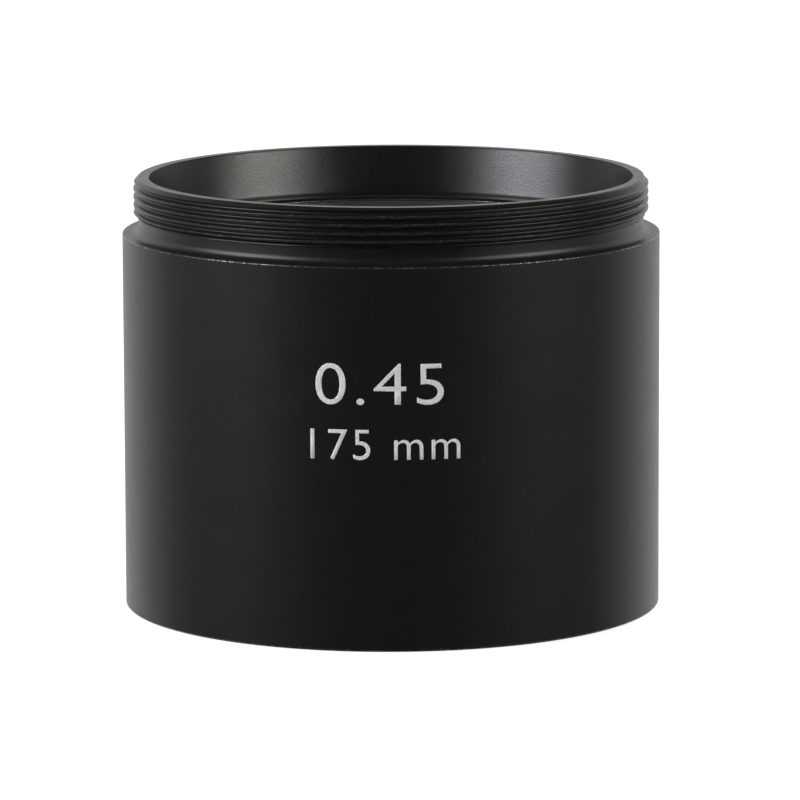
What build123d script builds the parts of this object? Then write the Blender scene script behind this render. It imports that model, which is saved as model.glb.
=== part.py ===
from build123d import *
import os
from math import copysign, radians, sqrt, tan

# An auxiliary objective lens for a microscope: a turned housing that screws to the
# microscope by its upper boss, and two cemented lens groups clamped in its bore.
# Millimetres. The origin is the centre of the base plane, and +Z points to the microscope.

# Threaded boss: an M48 x 0.75 fine thread, whose turns are left off the solid
thread_d = 48.0
thread_allowance = 0.1
boss_h = 5.2
relief_depth = 0.5
relief_h = 1.5
relief_fillet = 0.7
rim_break = 0.08

# Housing body, outside: the shoulder stands out beyond the thread
body_h = 35.0
shoulder_w = 1.0
shoulder_break = 0.08
base_break = 0.2

# Housing, inside: each step narrows the bore from the thread's size inwards
rim_wall = 1.5
recess_depth = 4.4
recess_step = 0.5
ring_wall = 1.0
thread_runout = 1.2
mouth_chamfer = 0.6

# Radial clearance of everything that slides or screws into the housing
slip = 0.05

# Lens groups
lens_bevel = 0.2
rear_outer_r = 70.0
rear_cement_r = 100.0
rear_inner_r = 280.0
rear_crown_t = 2.2
rear_flint_t = 4.0
front_cement_r = 180.0
front_inner_r = 220.0
front_flint_t = 2.6
front_crown_t = 5.0

# Rear retaining ring: a thin lip over the glass and a threaded skirt round its edge
rear_ring_sink = 0.2
rear_ring_h = 3.2
lip_t = 0.4
lip_bearing = 0.9
lip_bevel = 0.3
skirt_gap = 0.1
notch_w = 2.0
notch_h = 1.2

# Front retaining ring: a plain slotted ring
front_ring_sink = 1.5
front_ring_h = 3.0
front_bearing = 1.2
front_ring_bevel = 0.8
slot_w = 2.0
slot_h = 1.2

# Spacer tube between the two groups, with grooves that trap stray light
spacer_wall = 1.4
groove_pitch = 1.5
groove_depth = 0.45
groove_angle = 60.0
groove_margin = 1.2


def sag(radius, r):
    """Height of a spherical surface at r from the axis, above its vertex."""
    return copysign(abs(radius) - sqrt(radius**2 - r**2), radius)


# Radii, from the thread outwards and inwards
boss_r = (thread_d - thread_allowance) / 2
relief_r = thread_d / 2 - relief_depth
body_r = thread_d / 2 + shoulder_w
recess_r = thread_d / 2 - rim_wall
ring_bore_r = recess_r - recess_step
ring_r = ring_bore_r - slip
lens_r = ring_bore_r - ring_wall
lens_bore_r = lens_r + slip
cement_r = lens_r - lens_bevel
lip_r = lens_r - lip_bearing
front_ring_r = lens_r - front_bearing
spacer_r = lens_r - spacer_wall

# Places along the axis, from the two ends inwards: the spacer takes up what is left
lead_in = boss_r - relief_r
rim_z = body_h + boss_h
recess_z = rim_z - recess_depth
rear_ring_z = recess_z - rear_ring_sink
rear_seat_z = rear_ring_z - lip_t
rear_vertex_z = rear_seat_z - sag(rear_outer_r, lip_r)
rear_cement_z = rear_vertex_z - rear_crown_t
rear_inner_z = rear_cement_z - rear_flint_t
spacer_top_z = rear_inner_z - sag(rear_inner_r, spacer_r)
front_seat_z = front_ring_sink + front_ring_h
front_cement_z = front_seat_z + front_flint_t
front_inner_z = front_cement_z + front_crown_t
spacer_base_z = front_inner_z - sag(front_inner_r, spacer_r)
rear_thread_z = rear_ring_z - rear_ring_h - thread_runout
front_thread_z = front_seat_z + thread_runout


def turned(*edges):
    """A solid turned about Z from a closed outline of edges in radius and height."""
    outline = make_face(Curve() + list(edges))
    return revolve(Plane.XZ * outline, axis=Axis.Z)


def chain(*points):
    """Straight edges through points."""
    return Polyline(*points).edges()


def dome(vertex_z, radius, r):
    """The arc of a spherical lens surface from the axis out to r."""
    middle = (r / 2, vertex_z + sag(radius, r / 2))
    return ThreePointArc((0, vertex_z), middle, (r, vertex_z + sag(radius, r)))


def housing():
    """The one-piece turned housing: body, relief groove, threaded boss and bore."""
    relief_z = body_h + relief_h
    fillet_z = body_h + relief_fillet
    fillet_r = relief_r + relief_fillet
    inset = relief_fillet * (1 - sqrt(0.5))
    fillet_arc = ThreePointArc(
        (fillet_r, body_h), (relief_r + inset, body_h + inset), (relief_r, fillet_z)
    )
    rest = chain(
        (relief_r, fillet_z),
        (relief_r, relief_z),
        (boss_r, relief_z + lead_in),
        (boss_r, rim_z - lead_in),
        (relief_r, rim_z),
        (recess_r + rim_break, rim_z),
        (recess_r, rim_z - rim_break),
        (recess_r, recess_z),
        (ring_bore_r, recess_z),
        (ring_bore_r, rear_thread_z),
        (lens_bore_r, rear_thread_z),
        (lens_bore_r, front_thread_z),
        (ring_bore_r, front_thread_z),
        (ring_bore_r, mouth_chamfer),
        (ring_bore_r + mouth_chamfer, 0),
        (body_r - base_break, 0),
        (body_r, base_break),
        (body_r, body_h - shoulder_break),
        (body_r - shoulder_break, body_h),
        (fillet_r, body_h),
    )
    return turned(fillet_arc, *rest)


def spanner_cut(width, depth, inner_r, z):
    """Two bars across a ring, one each side, that leave slots for a spanner."""
    length = ring_bore_r - inner_r
    middle = inner_r + length / 2
    bar = Box(length, width, 2 * depth)
    return Pos(middle, 0, z) * bar + Pos(-middle, 0, z) * bar


def rear_retaining_ring():
    """The upper ring: its lip bears on the glass, its skirt screws into the housing."""
    skirt_r = lens_r + skirt_gap
    base_z = rear_ring_z - rear_ring_h
    ring = turned(
        *chain(
            (lip_r, rear_seat_z),
            (lip_r, rear_ring_z - lip_bevel),
            (lip_r + lip_bevel, rear_ring_z),
            (ring_r, rear_ring_z),
            (ring_r, base_z),
            (skirt_r, base_z),
            (skirt_r, rear_seat_z),
            (lip_r, rear_seat_z),
        )
    )
    return ring - spanner_cut(notch_w, notch_h, skirt_r, rear_ring_z)


def front_retaining_ring():
    """The lower ring, which clamps the whole stack up against the upper one."""
    ring = turned(
        *chain(
            (front_ring_r, front_ring_sink + front_ring_bevel),
            (front_ring_r + front_ring_bevel, front_ring_sink),
            (ring_r, front_ring_sink),
            (ring_r, front_seat_z),
            (front_ring_r, front_seat_z),
            (front_ring_r, front_ring_sink + front_ring_bevel),
        )
    )
    return ring - spanner_cut(slot_w, slot_h, front_ring_r - slip, front_ring_sink)


def rear_crown_lens():
    """The biconcave glass seen in the recess, with a flat ground where the lip bears."""
    edge_z = rear_cement_z - sag(rear_cement_r, cement_r)
    return turned(
        dome(rear_vertex_z, rear_outer_r, lip_r),
        *chain(
            (lip_r, rear_seat_z),
            (cement_r, rear_seat_z),
            (lens_r, rear_seat_z - lens_bevel),
            (lens_r, edge_z + lens_bevel),
            (cement_r, edge_z),
        ),
        dome(rear_cement_z, -rear_cement_r, cement_r),
        Line((0, rear_cement_z), (0, rear_vertex_z)),
    )


def rear_flint_lens():
    """The meniscus cemented under the biconcave glass; its flat rests on the spacer."""
    edge_z = rear_cement_z - sag(rear_cement_r, cement_r)
    return turned(
        dome(rear_cement_z, -rear_cement_r, cement_r),
        *chain(
            (cement_r, edge_z),
            (lens_r, edge_z - lens_bevel),
            (lens_r, spacer_top_z + lens_bevel),
            (cement_r, spacer_top_z),
            (spacer_r, spacer_top_z),
        ),
        dome(rear_inner_z, -rear_inner_r, spacer_r),
        Line((0, rear_inner_z), (0, rear_cement_z)),
    )


def front_crown_lens():
    """The biconvex glass of the front group; the spacer's inner edge bears on it."""
    cement_edge_z = front_cement_z + sag(front_cement_r, cement_r)
    top_edge_z = front_inner_z - sag(front_inner_r, cement_r)
    return turned(
        dome(front_inner_z, -front_inner_r, cement_r),
        *chain(
            (cement_r, top_edge_z),
            (lens_r, top_edge_z - lens_bevel),
            (lens_r, cement_edge_z + lens_bevel),
            (cement_r, cement_edge_z),
        ),
        dome(front_cement_z, front_cement_r, cement_r),
        Line((0, front_cement_z), (0, front_inner_z)),
    )


def front_flint_lens():
    """The plano-concave glass that closes the lower end; its plane faces the specimen."""
    edge_z = front_cement_z + sag(front_cement_r, cement_r)
    return turned(
        dome(front_cement_z, front_cement_r, cement_r),
        *chain(
            (cement_r, edge_z),
            (lens_r, edge_z - lens_bevel),
            (lens_r, front_seat_z + lens_bevel),
            (cement_r, front_seat_z),
            (0, front_seat_z),
            (0, front_cement_z),
        ),
    )


def spacer_tube():
    """The tube that holds the groups apart, grooved inside against stray light."""
    half_w = groove_depth * tan(radians(groove_angle / 2))
    first = spacer_base_z + groove_margin + half_w
    room = spacer_top_z - groove_margin - half_w - first
    count = int(room // groove_pitch) + 1
    wall = [(spacer_r, spacer_base_z)]
    for turn in range(count):
        middle = first + turn * groove_pitch
        wall.append((spacer_r, middle - half_w))
        wall.append((spacer_r + groove_depth, middle))
        wall.append((spacer_r, middle + half_w))
    wall.append((spacer_r, spacer_top_z))
    outside = [
        (lens_r, spacer_top_z),
        (lens_r, spacer_base_z),
        (spacer_r, spacer_base_z),
    ]
    return turned(*chain(*wall, *outside))


nodes = {
    "housing": housing,
    "rear_retaining_ring": rear_retaining_ring,
    "rear_crown_lens": rear_crown_lens,
    "rear_flint_lens": rear_flint_lens,
    "spacer_tube": spacer_tube,
    "front_crown_lens": front_crown_lens,
    "front_flint_lens": front_flint_lens,
    "front_retaining_ring": front_retaining_ring,
}

os.makedirs("parts", exist_ok=True)
for name, make in nodes.items():
    export_step(make(), f"parts/{name}.step")
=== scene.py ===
import bpy
import bmesh
from math import cos, pi, radians, sin, sqrt, tan
from mathutils import Matrix, Vector


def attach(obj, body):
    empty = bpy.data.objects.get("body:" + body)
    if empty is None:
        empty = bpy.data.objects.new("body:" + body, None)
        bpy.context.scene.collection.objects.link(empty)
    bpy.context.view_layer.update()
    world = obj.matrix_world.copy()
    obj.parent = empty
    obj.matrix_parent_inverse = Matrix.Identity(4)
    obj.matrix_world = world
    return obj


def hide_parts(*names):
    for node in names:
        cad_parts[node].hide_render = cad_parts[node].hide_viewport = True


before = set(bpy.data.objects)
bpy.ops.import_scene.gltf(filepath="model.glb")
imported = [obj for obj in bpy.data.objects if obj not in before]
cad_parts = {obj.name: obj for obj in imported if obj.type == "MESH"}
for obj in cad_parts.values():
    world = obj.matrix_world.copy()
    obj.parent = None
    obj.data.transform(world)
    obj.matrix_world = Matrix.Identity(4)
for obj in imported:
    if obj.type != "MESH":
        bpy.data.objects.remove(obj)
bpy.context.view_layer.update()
mm = 0.001  # the object's sizes are written in millimetres, the studio's in metres
print("frame loaded:", len(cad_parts), "nodes")


# node writing

def mathsMethod(operation, reflected=False):
    def method(wire, other):
        values = (other, wire) if reflected else (wire, other)
        return wire.maths(operation, *values)
    return method


class Wire:
    # a node's output that can be used in plain arithmetic; each step adds a Math node
    def __init__(self, sheet, socket):
        self.sheet = sheet
        self.socket = socket

    def maths(self, operation, *values):
        return self.sheet.add("ShaderNodeMath", {"operation": operation}, dict(enumerate(values)))

    __add__ = mathsMethod("ADD")
    __radd__ = mathsMethod("ADD", reflected=True)
    __sub__ = mathsMethod("SUBTRACT")
    __rsub__ = mathsMethod("SUBTRACT", reflected=True)
    __mul__ = mathsMethod("MULTIPLY")
    __rmul__ = mathsMethod("MULTIPLY", reflected=True)
    __truediv__ = mathsMethod("DIVIDE")
    __rtruediv__ = mathsMethod("DIVIDE", reflected=True)
    __mod__ = mathsMethod("MODULO")
    __rmod__ = mathsMethod("MODULO", reflected=True)
    lesser = mathsMethod("MINIMUM")
    greater = mathsMethod("MAXIMUM")
    below = mathsMethod("LESS_THAN")

    def floor(self):
        return self.maths("FLOOR", self)

    def sine(self):
        return self.maths("SINE", self)

    def cosine(self):
        return self.maths("COSINE", self)

    def rise(self, low, high):
        # 0 below low, 1 above high, a soft step between; low above high turns it round
        settings = {"interpolation_type": "SMOOTHSTEP"}
        sockets = {"Value": self, "From Min": low, "From Max": high, "To Min": 0, "To Max": 1}
        return self.sheet.add("ShaderNodeMapRange", settings, sockets)

    def part(self, name):
        # another output of the same node
        outputs = self.socket.node.outputs
        return Wire(self.sheet, next(s for s in outputs if s.enabled and s.name == name))


class Sheet:
    # a node tree being written
    def __init__(self, tree):
        self.tree = tree

    def add(self, kind, settings=None, sockets=None):
        node = self.tree.nodes.new(kind)
        for name, value in (settings or {}).items():
            setattr(node, name, value)
        for key, value in (sockets or {}).items():
            if isinstance(key, int):
                socket = node.inputs[key]
            else:
                socket = next(s for s in node.inputs if s.enabled and s.name == key)
            if isinstance(value, Wire):
                self.tree.links.new(value.socket, socket)
            else:
                socket.default_value = value
        outputs = [s for s in node.outputs if s.enabled]
        return Wire(self, outputs[0]) if outputs else None

    def mix(self, share, a, b):
        settings = {"data_type": "RGBA"}
        return self.add("ShaderNodeMix", settings, {"Factor": share, "A": a, "B": b})

    def noise(self, place, scale, detail=3.0, roughness=0.6):
        sockets = {"Vector": place, "Scale": scale, "Detail": detail, "Roughness": roughness}
        return self.add("ShaderNodeTexNoise", {}, sockets)

    def bump(self, height, strength, depth):
        sockets = {"Height": height, "Strength": strength, "Distance": depth * mm}
        return self.add("ShaderNodeBump", {}, sockets)

    def objectPlace(self):
        return self.add("ShaderNodeTexCoord").part("Object")

    def marked(self, name):
        # an attribute of the mesh, in a material
        return self.add("ShaderNodeAttribute", {"attribute_name": name}).part("Fac")


def grey(value):
    return (value, value, value, 1)


def newFinish(name):
    material = bpy.data.materials.new(name)
    material.use_nodes = True
    material.node_tree.nodes.clear()
    return material, Sheet(material.node_tree)


def lay(sheet, sockets):
    # the surface shader and the material's output
    surface = sheet.add("ShaderNodeBsdfPrincipled", {}, sockets)
    sheet.add("ShaderNodeOutputMaterial", {}, {"Surface": surface})


# finishes

def makeAnodise(name, look):
    # black anodise over fine-blasted aluminium, worn thin where "worn" marks an edge
    material, sheet = newFinish(name)
    place = sheet.objectPlace()
    grain = sheet.noise(place, look["grainScale"])
    cloud = sheet.noise(place, look["cloudScale"], detail=2.0, roughness=0.5)
    patch = sheet.noise(place, look["wearScale"], detail=2.0)
    thin = sheet.marked("worn") * patch.rise(look["wearLow"], look["wearHigh"])
    bare = (thin * look["wearAmount"]).lesser(1)
    black = sheet.mix(grain.rise(look["grainLow"], look["grainHigh"]), look["dark"], look["light"])
    rough = look["roughness"] + (cloud - 0.5) * look["roughSpread"] - bare * look["bareShine"]
    lay(sheet, {
        "Base Color": sheet.mix(bare, black, look["bareColour"]),
        "Roughness": rough,
        "Metallic": bare,
        "IOR": look["index"],
        "Specular IOR Level": look["specular"],
        "Anisotropic": look["anisotropic"],
        "Anisotropic Rotation": look["spin"],
        "Normal": sheet.bump(grain, look["bumpStrength"], look["bumpDepth"]),
    })
    return material


housingLook = {
    "grainScale": 9000.0, "grainLow": 0.3, "grainHigh": 0.75,
    "dark": grey(0.005), "light": grey(0.014),
    "cloudScale": 300.0, "roughness": 0.38, "roughSpread": 0.06,
    "index": 1.5, "specular": 0.5, "anisotropic": 0.0, "spin": 0.0,
    "bumpStrength": 0.25, "bumpDepth": 0.01,
    "wearScale": 7000.0, "wearLow": 0.53, "wearHigh": 0.62, "wearAmount": 0.85,
    "bareColour": grey(0.55), "bareShine": 0.2,
}
# the recess wall is glossier and coarser than the outside, and its shine spreads one way
boreLook = dict(
    housingLook, grainScale=6500.0, dark=grey(0.0003), light=grey(0.001), roughness=0.32,
    index=1.9, specular=1.0, anisotropic=0.75, spin=0.25, bumpStrength=1.0, bumpDepth=0.026,
)
ringLook = dict(housingLook, roughness=0.33, specular=0.3, wearLow=0.42, wearHigh=0.56)
spacerLook = dict(housingLook, dark=grey(0.001), light=grey(0.003), roughness=0.7, specular=0.15)

blackAnodise = makeAnodise("blackAnodise", housingLook)
turnedAnodise = makeAnodise("turnedAnodise", boreLook)
ringAnodise = makeAnodise("ringAnodise", ringLook)
deadBlack = makeAnodise("deadBlack", spacerLook)


def makeGlass(name, look):
    # polished glass with a faint haze, ground where "worn" marks the lens's edge
    material, sheet = newFinish(name)
    haze = sheet.noise(sheet.objectPlace(), look["hazeScale"])
    ground = sheet.marked("worn")
    dull = haze.rise(look["hazeLow"], look["hazeHigh"]) * look["haze"]
    lay(sheet, {
        "Base Color": sheet.mix(ground, look["tint"], look["edgeColour"]),
        "Roughness": dull + ground * look["edgeRoughness"],
        "IOR": look["index"],
        "Transmission Weight": look["clear"],
        "Specular Tint": look["coating"],
    })
    return material


crownLook = {
    "tint": (0.96, 0.98, 0.96, 1), "index": 1.52, "clear": 0.95,
    "haze": 0.02, "hazeScale": 120.0, "hazeLow": 0.5, "hazeHigh": 0.8,
    "coating": (0.75, 0.9, 0.8, 1), "edgeColour": grey(0.02), "edgeRoughness": 0.6,
}
flintLook = dict(crownLook, clear=1.0, tint=(0.97, 0.98, 0.95, 1))
coatedGlass = makeGlass("coatedGlass", crownLook)
flintGlass = makeGlass("flintGlass", flintLook)


def makeCement(name):
    # a cemented joint shows nothing, so light passes straight through these faces
    material, sheet = newFinish(name)
    lay(sheet, {"Base Color": grey(1), "Alpha": 0.0})
    return material


cementJoint = makeCement("cementJoint")


def makeInk(name, look):
    material, sheet = newFinish(name)
    grain = sheet.noise(sheet.objectPlace(), look["grainScale"])
    cover = grain.rise(look["grainLow"], look["grainHigh"])
    lay(sheet, {
        "Base Color": sheet.mix(cover, look["thin"], look["full"]),
        "Roughness": look["roughness"],
        "Normal": sheet.bump(grain, look["bumpStrength"], look["bumpDepth"]),
    })
    return material


inkLook = {
    "grainScale": 7000.0, "grainLow": 0.35, "grainHigh": 0.65,
    "thin": grey(0.64), "full": grey(0.86), "roughness": 0.6,
    "bumpStrength": 0.3, "bumpDepth": 0.01,
}
whiteInk = makeInk("whiteInk", inkLook)
print("finishes made")


# making meshes with a node tree

def openTree(name, inputs):
    # a Geometry Nodes tree with these inputs and one mesh coming out
    tree = bpy.data.node_groups.new(name, "GeometryNodeTree")
    for port, kind in inputs.items():
        tree.interface.new_socket(port, in_out="INPUT", socket_type="NodeSocket" + kind)
    tree.interface.new_socket("Mesh", in_out="OUTPUT", socket_type="NodeSocketGeometry")
    sheet = Sheet(tree)
    return tree, sheet, sheet.add("NodeGroupInput")


def dress(sheet, shape, finish, where=True):
    sockets = {"Geometry": shape, "Selection": where, "Material": finish}
    return sheet.add("GeometryNodeSetMaterial", {}, sockets)


def bake(seed, tree, values):
    # runs a node tree on an object with these inputs, and leaves the result as a plain mesh
    modifier = seed.modifiers.new("making", "NODES")
    modifier.node_group = tree
    for port in tree.interface.items_tree:
        if port.in_out == "INPUT" and port.name in values:
            modifier[port.identifier] = values[port.name]
    shown = seed.evaluated_get(bpy.context.evaluated_depsgraph_get())
    result = bpy.data.meshes.new_from_object(shown)
    name = seed.name
    bpy.data.objects.remove(seed)
    result.name = name
    piece = bpy.data.objects.new(name, result)
    bpy.context.scene.collection.objects.link(piece)
    return piece


def finishPiece(piece, node=None):
    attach(piece, "root")
    if node:
        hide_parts(node)
    shape = bmesh.new()
    shape.from_mesh(piece.data)
    openEdges = sum(1 for e in shape.edges if len(e.link_faces) != 2)
    volume = shape.calc_volume(signed=True) / mm**3
    print(piece.name, "faces", len(shape.faces), "open edges", openEdges,
          "volume mm3", round(volume, 1))
    shape.free()


# turned pieces

def turningTree():
    # each point of the input is one row of a turned outline: radius in x, height in z.
    # Rows with climb rise with the turn as a thread does, held between low and high,
    # and a cone of 45 degrees at both ends cuts the thread down to the end radius.
    tree, sheet, given = openTree("turnedOutline", {
        "Outline": "Geometry", "Facets": "Int", "Pitch": "Float",
        "Weld": "Float", "Crease Angle": "Float",
        "Finish": "Material", "Second Finish": "Material",
    })
    outline = given.part("Outline")
    facets = given.part("Facets")

    count = sheet.add("GeometryNodeAttributeDomainSize", {"component": "MESH"},
                      {"Geometry": outline})
    rows = count.part("Point Count")
    grid = sheet.add("GeometryNodeMeshGrid", {}, {"Vertices X": facets + 1, "Vertices Y": rows})
    index = sheet.add("GeometryNodeInputIndex")
    row = index % rows
    share = ((index + 0.5) / rows).floor() / facets  # of a full turn

    def stored(name):
        return sheet.add("GeometryNodeInputNamedAttribute", {"data_type": "FLOAT"},
                         {"Name": name})

    def sample(kind, value):
        return sheet.add("GeometryNodeSampleIndex", {"data_type": kind},
                         {"Geometry": outline, "Value": value, "Index": row})

    def rowValue(name):
        return sample("FLOAT", stored(name))

    place = sheet.add("GeometryNodeInputPosition")
    point = sheet.add("ShaderNodeSeparateXYZ", {}, {"Vector": sample("FLOAT_VECTOR", place)})
    low = rowValue("low")
    high = rowValue("high")
    side = rowValue("side")
    climbed = point.part("Z") + rowValue("climb") * given.part("Pitch") * share
    height = climbed.greater(low).lesser(high)
    cone = side * rowValue("endRadius") + (height - low).lesser(high - height)
    reach = side * point.part("X")
    radius = side * reach.lesser(cone)
    angle = share * (2 * pi)
    spot = sheet.add("ShaderNodeCombineXYZ", {}, {
        "X": radius * angle.cosine(), "Y": radius * angle.sine(), "Z": height,
    })
    shape = sheet.add("GeometryNodeSetPosition", {}, {"Geometry": grid, "Position": spot})
    # what the cone has cut is freshly machined, not worn
    worn = rowValue("worn") * reach.below(cone)
    for name, value in (("worn", worn), ("second", rowValue("second"))):
        settings = {"data_type": "FLOAT", "domain": "POINT"}
        sockets = {"Geometry": shape, "Name": name, "Value": value}
        shape = sheet.add("GeometryNodeStoreNamedAttribute", settings, sockets)

    shape = sheet.add("GeometryNodeMergeByDistance", {},
                      {"Geometry": shape, "Distance": given.part("Weld")})
    shape = sheet.add("GeometryNodeSetShadeSmooth", {"domain": "FACE"},
                      {"Geometry": shape, "Shade Smooth": True})
    bend = sheet.add("GeometryNodeInputMeshEdgeAngle").part("Unsigned Angle")
    crease = sheet.add("FunctionNodeCompare", {"operation": "GREATER_THAN"},
                       {"A": bend, "B": given.part("Crease Angle")})
    shape = sheet.add("GeometryNodeSetShadeSmooth", {"domain": "EDGE"},
                      {"Geometry": shape, "Selection": crease, "Shade Smooth": False})
    shape = sheet.add("GeometryNodeRealizeInstances", {}, {"Geometry": shape})
    shape = dress(sheet, shape, given.part("Finish"))
    # the second finish takes only the faces whose corners are all marked
    isSecond = sheet.add("FunctionNodeCompare", {"operation": "GREATER_THAN"},
                         {"A": stored("second"), "B": 0.99})
    shape = dress(sheet, shape, given.part("Second Finish"), isSecond)
    sheet.add("NodeGroupOutput", {}, {"Mesh": shape})
    return tree


turnedOutline = turningTree()
turning = {"weld": 0.0015, "creaseAngle": 38.0}
far = 1000.0  # a height limit that holds nothing back


class Outline:
    # collects the rows of a turned outline, in millimetres
    def __init__(self):
        self.rows = []

    def row(self, r, z, worn=0.0, second=0.0, climb=0.0, low=-far, high=far, side=1.0, end=0.0):
        self.rows.append((r, z, worn, second, climb, low, high, side, end))

    def close(self):
        self.rows.append(self.rows[0])

    def corners(self, points, worn=0.0, steps=4, margin=0.04, before=None, after=None):
        # points are (r, z) or (r, z, edge radius); a rounded corner gets an arc between
        # two rows close beside it, which keep the flats beside it flat. The first point's
        # neighbour is before or else the last point, and the last one's is after or the first.
        path = [before or points[-1], *points, after or points[0]]
        for behind, point, beyond in zip(path, points, path[2:]):
            if len(point) == 2:
                self.row(*point)
                continue
            here, radius = Vector(point[:2]), point[2]
            back = (Vector(behind[:2]) - here).normalized()
            ahead = (Vector(beyond[:2]) - here).normalized()
            bend = back.angle(ahead)
            reach = radius / tan(bend / 2)
            centre = here + (back + ahead).normalized() * (radius / sin(bend / 2))
            start = here + back * reach
            stop = here + ahead * reach
            self.row(*(here + back * (reach + margin)))
            for step in range(steps + 1):
                spoke = (start - centre).lerp(stop - centre, step / steps).normalized()
                self.row(*(centre + spoke * radius), worn=worn)
            self.row(*(here + ahead * (reach + margin)))

    def ground(self, *points):
        # a lens's ground edge
        for r, z in points:
            self.row(r, z, worn=1.0)

    def arc(self, centre, radius, fromAngle, toAngle, steps):
        for step in range(steps + 1):
            angle = radians(fromAngle + (toAngle - fromAngle) * step / steps)
            self.row(centre[0] + radius * cos(angle), centre[1] + radius * sin(angle))

    def sphere(self, vertexZ, radius, r, steps=40, outward=True, second=0.0):
        # a lens surface from the axis to r, or back; a negative radius bulges down
        order = range(steps + 1) if outward else range(steps, -1, -1)
        for step in order:
            x = r * step / steps
            rise = sag(radius, x)
            self.row(x, vertexZ + (rise if radius > 0 else -rise), second=second)


def sag(radius, r):
    # how far a lens surface has left its vertex's plane at r
    return abs(radius) - sqrt(radius**2 - r**2)


def turn(name, outline, facets, finish, secondFinish=None, pitch=0.0):
    mesh = bpy.data.meshes.new(name + "Outline")
    mesh.from_pydata([(row[0] * mm, 0, row[1] * mm) for row in outline.rows], [], [])
    scales = {"worn": 1, "second": 1, "climb": 1, "low": mm, "high": mm, "side": 1,
              "endRadius": mm}
    for column, (attribute, scale) in enumerate(scales.items(), start=2):
        layer = mesh.attributes.new(attribute, "FLOAT", "POINT")
        layer.data.foreach_set("value", [row[column] * scale for row in outline.rows])
    seed = bpy.data.objects.new(name, mesh)
    bpy.context.scene.collection.objects.link(seed)
    return bake(seed, turnedOutline, {
        "Facets": facets, "Pitch": pitch * mm,
        "Weld": turning["weld"] * mm, "Crease Angle": radians(turning["creaseAngle"]),
        "Finish": finish, "Second Finish": secondFinish or finish,
    })


# housing

housing = {
    "bodyRadius": 25.0, "bodyHeight": 35.0, "shoulderEdge": 0.07,
    "baseChamfer": 0.2, "baseEdge": 0.05,
    "reliefRadius": 23.5, "reliefTop": 36.5, "reliefFillet": 0.7, "filletSteps": 10,
    "rimHeight": 40.2, "rimEdge": 0.08,
    "recessRadius": 22.5, "recessFloor": 35.8, "wallMargin": 0.05, "floorMargin": 0.02,
    "ringBore": 22.0, "ringBoreFoot": 31.2, "ringBoreEdge": 0.03,
    "lensBore": 21.05, "lensBoreFoot": 5.7,
    "facets": 400,
    # the outer thread, and where one of its crests is
    "threadPitch": 0.75, "flankAngle": 30.0, "crestRadius": 23.95, "rootRadius": 23.54,
    "crestFlat": 0.15, "rootRounding": 0.11, "crestHeight": 39.16, "crestAzimuth": 182.0,
    # the crest's worn edge, from the flat over its corner to the flank
    "crestEdge": 0.015, "edgeDrop": 0.003, "edgeReach": 0.009, "flankStart": 0.05,
    # the inner thread at the mouth, one pitch as (height, depth)
    "mouthRadius": 22.6, "innerThreadTop": 2.4,
    "innerThread": ((0.0, 0.0), (0.1, 0.0), (0.34, 0.4), (0.44, 0.4), (0.6, 0.13)),
}


def threadShape(sizes):
    # one pitch of the outer thread as (height above the crest's middle, radius, worn)
    crest, half, edge = sizes["crestRadius"], sizes["crestFlat"] / 2, sizes["crestEdge"]
    reach, start = sizes["edgeReach"], sizes["flankStart"]
    slope = 1 / tan(radians(sizes["flankAngle"]))
    flat = [(-half + edge, crest, 0.0), (half - edge, crest, 0.0)]
    flank = [
        (half, crest - sizes["edgeDrop"], 1.0),
        (half + reach, crest - reach * slope, 1.0),
        (half + start, crest - start * slope, 0.0),
    ]
    root = []
    for angle in map(radians, range(-60, 61, 20)):
        z = sizes["threadPitch"] / 2 + sizes["rootRounding"] * sin(angle)
        root.append((z, sizes["rootRadius"] + sizes["rootRounding"] * (1 - cos(angle)), 0.0))
    nextFlank = [(sizes["threadPitch"] - z, r, worn) for z, r, worn in reversed(flank)]
    return flat + flank + root + nextFlank


def threadRows(outline, sizes):
    pitch = sizes["threadPitch"]
    low, high = sizes["reliefTop"], sizes["rimHeight"]
    start = sizes["crestHeight"] - pitch * sizes["crestAzimuth"] / 360
    first = -int((start - low) / pitch) - 2
    last = int((high - start) / pitch) + 1
    for count in range(first, last + 1):
        for z, r, worn in threadShape(sizes):
            outline.row(r, start + count * pitch + z, worn=worn, climb=1.0,
                        low=low, high=high, end=sizes["reliefRadius"])


def innerThreadRows(outline, sizes):
    # the start of the lower ring's thread, seen under that ring
    pitch = sizes["threadPitch"]
    high = sizes["innerThreadTop"]
    for count in range(int(high / pitch) + 2, -3, -1):
        for z, depth in reversed(sizes["innerThread"]):
            outline.row(sizes["ringBore"] + depth, count * pitch + z, climb=1.0,
                        low=0.0, high=high, side=-1.0, end=sizes["mouthRadius"])


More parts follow.
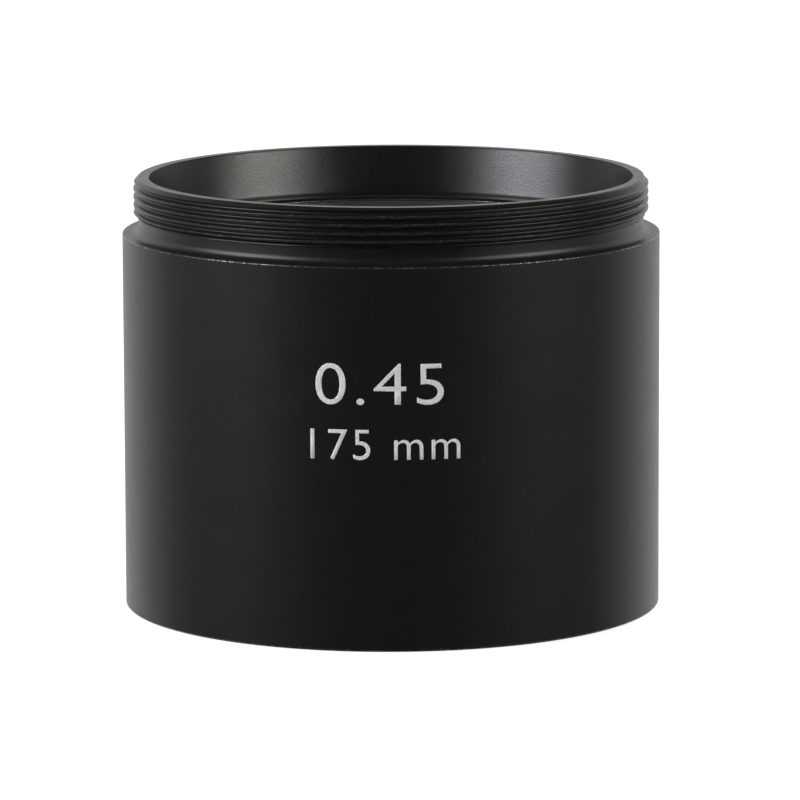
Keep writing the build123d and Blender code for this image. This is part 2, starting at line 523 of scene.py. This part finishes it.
def makeHousing(sizes):
    outline = Outline()
    body, foot, top = sizes["bodyRadius"], sizes["baseChamfer"], sizes["bodyHeight"]
    relief, fillet = sizes["reliefRadius"], sizes["reliefFillet"]
    outline.row(sizes["mouthRadius"], 0)
    outline.corners([
        (body - foot, 0, sizes["baseEdge"]),
        (body, foot, sizes["baseEdge"]),
        (body, top, sizes["shoulderEdge"]),
        (relief + fillet, top),
    ], worn=1.0)
    outline.arc((relief + fillet, top + fillet), fillet, 270, 180, sizes["filletSteps"])
    outline.row(relief, sizes["reliefTop"])
    threadRows(outline, sizes)

    # the rim and the recess, whose wall has the second finish
    wall, floor, rim = sizes["recessRadius"], sizes["recessFloor"], sizes["rimHeight"]
    outline.row(relief, rim)
    outline.corners([(wall, rim, sizes["rimEdge"])], before=(relief, rim), after=(wall, floor))
    outline.row(wall, rim - sizes["rimEdge"] - sizes["wallMargin"], second=1.0)
    outline.row(wall, floor, second=1.0)
    outline.row(wall - sizes["floorMargin"], floor)

    # the bores, and the start of the thread at the mouth
    ringBore, lensBore, mouth = sizes["ringBore"], sizes["lensBore"], sizes["mouthRadius"]
    outline.corners([
        (ringBore, floor, sizes["ringBoreEdge"]),
        (ringBore, sizes["ringBoreFoot"]),
    ], before=(wall, floor))
    outline.row(lensBore, sizes["ringBoreFoot"])
    outline.row(lensBore, sizes["lensBoreFoot"])
    outline.row(ringBore, sizes["lensBoreFoot"])
    outline.row(ringBore, sizes["innerThreadTop"] + mouth - ringBore)
    outline.row(mouth, sizes["innerThreadTop"])
    innerThreadRows(outline, sizes)
    outline.close()
    piece = turn("anodisedHousing", outline, sizes["facets"], blackAnodise, turnedAnodise,
                 pitch=sizes["threadPitch"])
    finishPiece(piece, "housing")


makeHousing(housing)
print("housing turned")


# glasses

glasses = {
    "lensRadius": 21.0, "bevel": 0.2, "lipRadius": 20.1, "spacerBore": 19.6, "facets": 256,
    "rearSeat": 35.2, "rearOuter": 70.0, "rearCement": 100.0, "rearInner": 280.0,
    "rearCrown": 2.2, "rearFlint": 4.0,
    "frontSeat": 4.5, "frontCement": 180.0, "frontInner": 220.0,
    "frontFlint": 2.6, "frontCrown": 5.0,
}


def finishGlass(name, outline, glass, node):
    piece = turn(name, outline, glasses["facets"], glass, cementJoint)
    finishPiece(piece, node)


def makeRearGlasses(sizes):
    # the cemented pair under the rim: a biconcave glass on a meniscus
    lens, bevel, seat = sizes["lensRadius"], sizes["bevel"], sizes["rearSeat"]
    edge = lens - bevel
    vertex = seat - sag(sizes["rearOuter"], sizes["lipRadius"])
    cement = vertex - sizes["rearCrown"]
    cementEdge = cement - sag(sizes["rearCement"], edge)
    inner = cement - sizes["rearFlint"]
    innerEdge = inner - sag(sizes["rearInner"], sizes["spacerBore"])

    crown = Outline()
    crown.sphere(cement, -sizes["rearCement"], edge, second=1.0)
    crown.ground((lens, cementEdge + bevel), (lens, seat - bevel), (edge, seat))
    crown.sphere(vertex, sizes["rearOuter"], sizes["lipRadius"], outward=False)
    finishGlass("rearCrownGlass", crown, coatedGlass, "rear_crown_lens")

    flint = Outline()
    flint.sphere(inner, -sizes["rearInner"], sizes["spacerBore"])
    flint.ground((edge, innerEdge), (lens, innerEdge + bevel), (lens, cementEdge - bevel))
    flint.sphere(cement, -sizes["rearCement"], edge, outward=False, second=1.0)
    finishGlass("rearFlintGlass", flint, flintGlass, "rear_flint_lens")


def makeFrontGlasses(sizes):
    # the cemented pair at the mouth: a biconvex glass on a plano-concave one
    lens, bevel, seat = sizes["lensRadius"], sizes["bevel"], sizes["frontSeat"]
    edge = lens - bevel
    cement = seat + sizes["frontFlint"]
    cementEdge = cement + sag(sizes["frontCement"], edge)
    inner = cement + sizes["frontCrown"]
    innerEdge = inner - sag(sizes["frontInner"], edge)

    crown = Outline()
    crown.sphere(cement, sizes["frontCement"], edge, second=1.0)
    crown.ground((lens, cementEdge + bevel), (lens, innerEdge - bevel))
    crown.sphere(inner, -sizes["frontInner"], edge, outward=False)
    finishGlass("frontCrownGlass", crown, flintGlass, "front_crown_lens")

    flint = Outline()
    flint.row(0, seat)
    flint.row(edge, seat)
    flint.ground((lens, seat + bevel), (lens, cementEdge - bevel))
    flint.sphere(cement, sizes["frontCement"], edge, outward=False, second=1.0)
    finishGlass("frontFlintGlass", flint, coatedGlass, "front_flint_lens")


makeRearGlasses(glasses)
makeFrontGlasses(glasses)
print("glasses ground")


# retaining rings

# the solids of both rings have spanner slots, which these pieces lack
rings = {
    "outer": 21.95, "facets": 320, "cornerMargin": 0.02,
    "rearTop": 35.6, "rearFoot": 32.4, "rearSeat": glasses["rearSeat"],
    "rearLip": glasses["lipRadius"], "lipBevel": 0.3, "rearSkirt": 21.1, "rearEdge": 0.03,
    "frontFace": 1.5, "frontSeat": glasses["frontSeat"], "frontBore": 19.8,
    "frontBevel": 0.8, "frontEdge": 0.05,
}


def makeRearRing(sizes):
    outer, skirt, lip = sizes["outer"], sizes["rearSkirt"], sizes["rearLip"]
    top, foot, seat = sizes["rearTop"], sizes["rearFoot"], sizes["rearSeat"]
    edge, bevel = sizes["rearEdge"], sizes["lipBevel"]
    outline = Outline()
    outline.corners([
        (skirt, foot),
        (outer, foot, edge),
        (outer, top, edge),
        (lip + bevel, top, edge),
        (lip, top - bevel, edge),
        (lip, seat),
        (skirt, seat),
    ], worn=1.0, margin=sizes["cornerMargin"])
    outline.close()
    ring = turn("rearRing", outline, sizes["facets"], ringAnodise)
    finishPiece(ring, "rear_retaining_ring")


def makeFrontRing(sizes):
    outer, bore, bevel = sizes["outer"], sizes["frontBore"], sizes["frontBevel"]
    face, seat, edge = sizes["frontFace"], sizes["frontSeat"], sizes["frontEdge"]
    outline = Outline()
    outline.corners([
        (bore + bevel, face, edge),
        (outer, face, edge),
        (outer, seat, edge),
        (bore, seat),
        (bore, face + bevel, edge),
    ], worn=1.0, margin=sizes["cornerMargin"])
    outline.close()
    ring = turn("frontRing", outline, sizes["facets"], ringAnodise)
    finishPiece(ring, "front_retaining_ring")


makeRearRing(rings)
makeFrontRing(rings)
print("rings turned")

# the spacer keeps its solid and only gets a finish
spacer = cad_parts["spacer_tube"]
spacer.data.materials.clear()
spacer.data.materials.append(deadBlack)


# printed marking

marking = {
    "lines": (
        {"words": "0.45", "middle": -1.1, "foot": 22.6, "tall": 3.75, "wide": 11.6,
         "offset": -0.006},
        {"words": "175 mm", "middle": -0.6, "foot": 17.6, "tall": 2.75, "wide": 13.6,
         "offset": -0.004},
    ),
    "spacing": 1.12, "curveSteps": 6, "weld": 0.001,
    "radius": housing["bodyRadius"], "proud": 0.015, "sunk": 0.03,
    "halfWidth": 10, "slice": 0.25,
}


def flatWords(line, sizes):
    # one line of the marking, flat and fitted to its place on the unrolled barrel
    data = bpy.data.curves.new("markingText", "FONT")
    data.body = line["words"]
    data.resolution_u = sizes["curveSteps"]
    data.offset = line["offset"]
    data.space_character = sizes["spacing"]
    words = bpy.data.objects.new("markingText", data)
    bpy.context.scene.collection.objects.link(words)
    shown = words.evaluated_get(bpy.context.evaluated_depsgraph_get())
    flat = bpy.data.meshes.new_from_object(shown)
    bpy.data.objects.remove(words)
    xs = [v.co.x for v in flat.vertices]
    ys = [v.co.y for v in flat.vertices]
    across = line["wide"] / (max(xs) - min(xs))
    up = line["tall"] / (max(ys) - min(ys))
    for v in flat.vertices:
        v.co.x = (v.co.x - (max(xs) + min(xs)) / 2) * across + line["middle"]
        v.co.y = (v.co.y - min(ys)) * up + line["foot"]
    return flat


def makeMarking(sizes):
    whole = bmesh.new()
    for line in sizes["lines"]:
        whole.from_mesh(flatWords(line, sizes))
    bmesh.ops.remove_doubles(whole, verts=whole.verts, dist=sizes["weld"])
    # sliced upright, so that the letters bend round the barrel
    for step in range(int(2 * sizes["halfWidth"] / sizes["slice"]) + 1):
        x = step * sizes["slice"] - sizes["halfWidth"]
        everything = whole.verts[:] + whole.edges[:] + whole.faces[:]
        bmesh.ops.bisect_plane(whole, geom=everything, plane_co=(x, 0, 0), plane_no=(1, 0, 0))
    made = bmesh.ops.extrude_face_region(whole, geom=whole.faces[:])
    raised = {v for v in made["geom"] if isinstance(v, bmesh.types.BMVert)}
    for v in whole.verts:
        angle = v.co.x / sizes["radius"] - pi / 2
        reach = sizes["radius"] + (sizes["proud"] if v in raised else -sizes["sunk"])
        v.co = Vector((reach * cos(angle), reach * sin(angle), v.co.y)) * mm
    bmesh.ops.recalc_face_normals(whole, faces=whole.faces)
    mesh = bpy.data.meshes.new("printedMarking")
    whole.to_mesh(mesh)
    whole.free()
    mesh.materials.append(whiteInk)
    piece = bpy.data.objects.new("printedMarking", mesh)
    bpy.context.scene.collection.objects.link(piece)
    finishPiece(piece)


makeMarking(marking)
print("marking printed")


# camera

view = {
    "distance": 561.102488, "height": 110.845648,
    "pitch": 0.162282, "yaw": 0.001391, "roll": -0.003379,
    "focalPixels": 6076.997, "imageWidth": 800, "sensor": 36.0,
    "clipStart": 10.0, "clipEnd": 50000.0,
}


def placeCamera(sizes):
    data = bpy.data.cameras.new("photoCamera")
    data.sensor_width = sizes["sensor"]
    data.sensor_fit = "HORIZONTAL"
    data.lens = sizes["focalPixels"] / sizes["imageWidth"] * sizes["sensor"]
    data.clip_start = sizes["clipStart"] * mm
    data.clip_end = sizes["clipEnd"] * mm
    camera = bpy.data.objects.new("photoCamera", data)
    camera.matrix_world = (
        Matrix.Translation((0, -sizes["distance"] * mm, sizes["height"] * mm))
        @ Matrix.Rotation(-sizes["yaw"], 4, "Z")
        @ Matrix.Rotation(pi / 2 - sizes["pitch"], 4, "X")
        @ Matrix.Rotation(sizes["roll"], 4, "Z")
    )
    bpy.context.scene.collection.objects.link(camera)
    bpy.context.scene.camera = camera


placeCamera(view)
print("camera placed")


# studio, in metres

studio = {
    # the world's light: pale behind and low, dark in front and overhead
    "backWhite": 1.0, "frontDark": 0.012,
    "backFrom": 0.0, "backTo": 0.95, "topDark": 0.9, "topPale": 0.2,
    "boxDistance": 0.9, "boxSize": 0.58, "aimHeight": 0.03,
    "boxes": {
        "leftBox": {"azimuth": -71.0, "elevation": 24.0, "power": 6.8,
                    "colour": (1, 0.99, 1.05)},
        "rightBox": {"azimuth": 67.0, "elevation": 24.0, "power": 4.8,
                     "colour": (1, 1.01, 0.93)},
    },
    "floorSize": 3.0, "floorGrey": 0.85, "floorRoughness": 0.9, "floorGlow": 0.75,
}


def lightWorld(values):
    world = bpy.data.worlds.new("studio")
    bpy.context.scene.world = world
    world.use_nodes = True
    world.node_tree.nodes.clear()
    sheet = Sheet(world.node_tree)
    direction = sheet.add("ShaderNodeTexCoord").part("Generated")
    split = sheet.add("ShaderNodeSeparateXYZ", {}, {"Vector": direction})
    back = split.part("Y").rise(values["backFrom"], values["backTo"])
    back = back * split.part("Z").rise(values["topDark"], values["topPale"])
    level = values["frontDark"] + back * (values["backWhite"] - values["frontDark"])
    # the camera itself sees plain white
    seen = sheet.add("ShaderNodeLightPath").part("Is Camera Ray")
    sky = sheet.add("ShaderNodeBackground", {}, {"Color": grey(1), "Strength": level.greater(seen)})
    sheet.add("ShaderNodeOutputWorld", {}, {"Surface": sky})


def placeBoxes(values):
    for name, spot in values["boxes"].items():
        lamp = bpy.data.lights.new(name, "AREA")
        lamp.shape = "SQUARE"
        lamp.size = values["boxSize"]
        lamp.energy = spot["power"]
        lamp.color = spot["colour"]
        box = bpy.data.objects.new(name, lamp)
        turned = radians(spot["azimuth"])
        raised = radians(spot["elevation"])
        aim = Vector((sin(turned) * cos(raised), -cos(turned) * cos(raised), sin(raised)))
        box.location = aim * values["boxDistance"] + Vector((0, 0, values["aimHeight"]))
        box.rotation_euler = aim.to_track_quat("Z", "Y").to_euler()
        bpy.context.scene.collection.objects.link(box)


def layFloor(values):
    half = values["floorSize"] / 2
    mesh = bpy.data.meshes.new("floor")
    mesh.from_pydata([(-half, -half, 0), (half, -half, 0), (half, half, 0), (-half, half, 0)],
                     [], [(0, 1, 2, 3)])
    floor = bpy.data.objects.new("floor", mesh)
    bpy.context.scene.collection.objects.link(floor)
    material, sheet = newFinish("paleFloor")
    # the floor's own glow keeps the ground white to the eye, and lights nothing
    looked = sheet.add("ShaderNodeLightPath").part("Is Camera Ray")
    lay(sheet, {
        "Base Color": grey(values["floorGrey"]), "Roughness": values["floorRoughness"],
        "Emission Color": sheet.mix(looked, grey(0), grey(1)),
        "Emission Strength": values["floorGlow"],
    })
    mesh.materials.append(material)
    floor.visible_glossy = False


bpy.context.scene.view_settings.view_transform = "Standard"
lightWorld(studio)
placeBoxes(studio)
layFloor(studio)
print("studio lit")
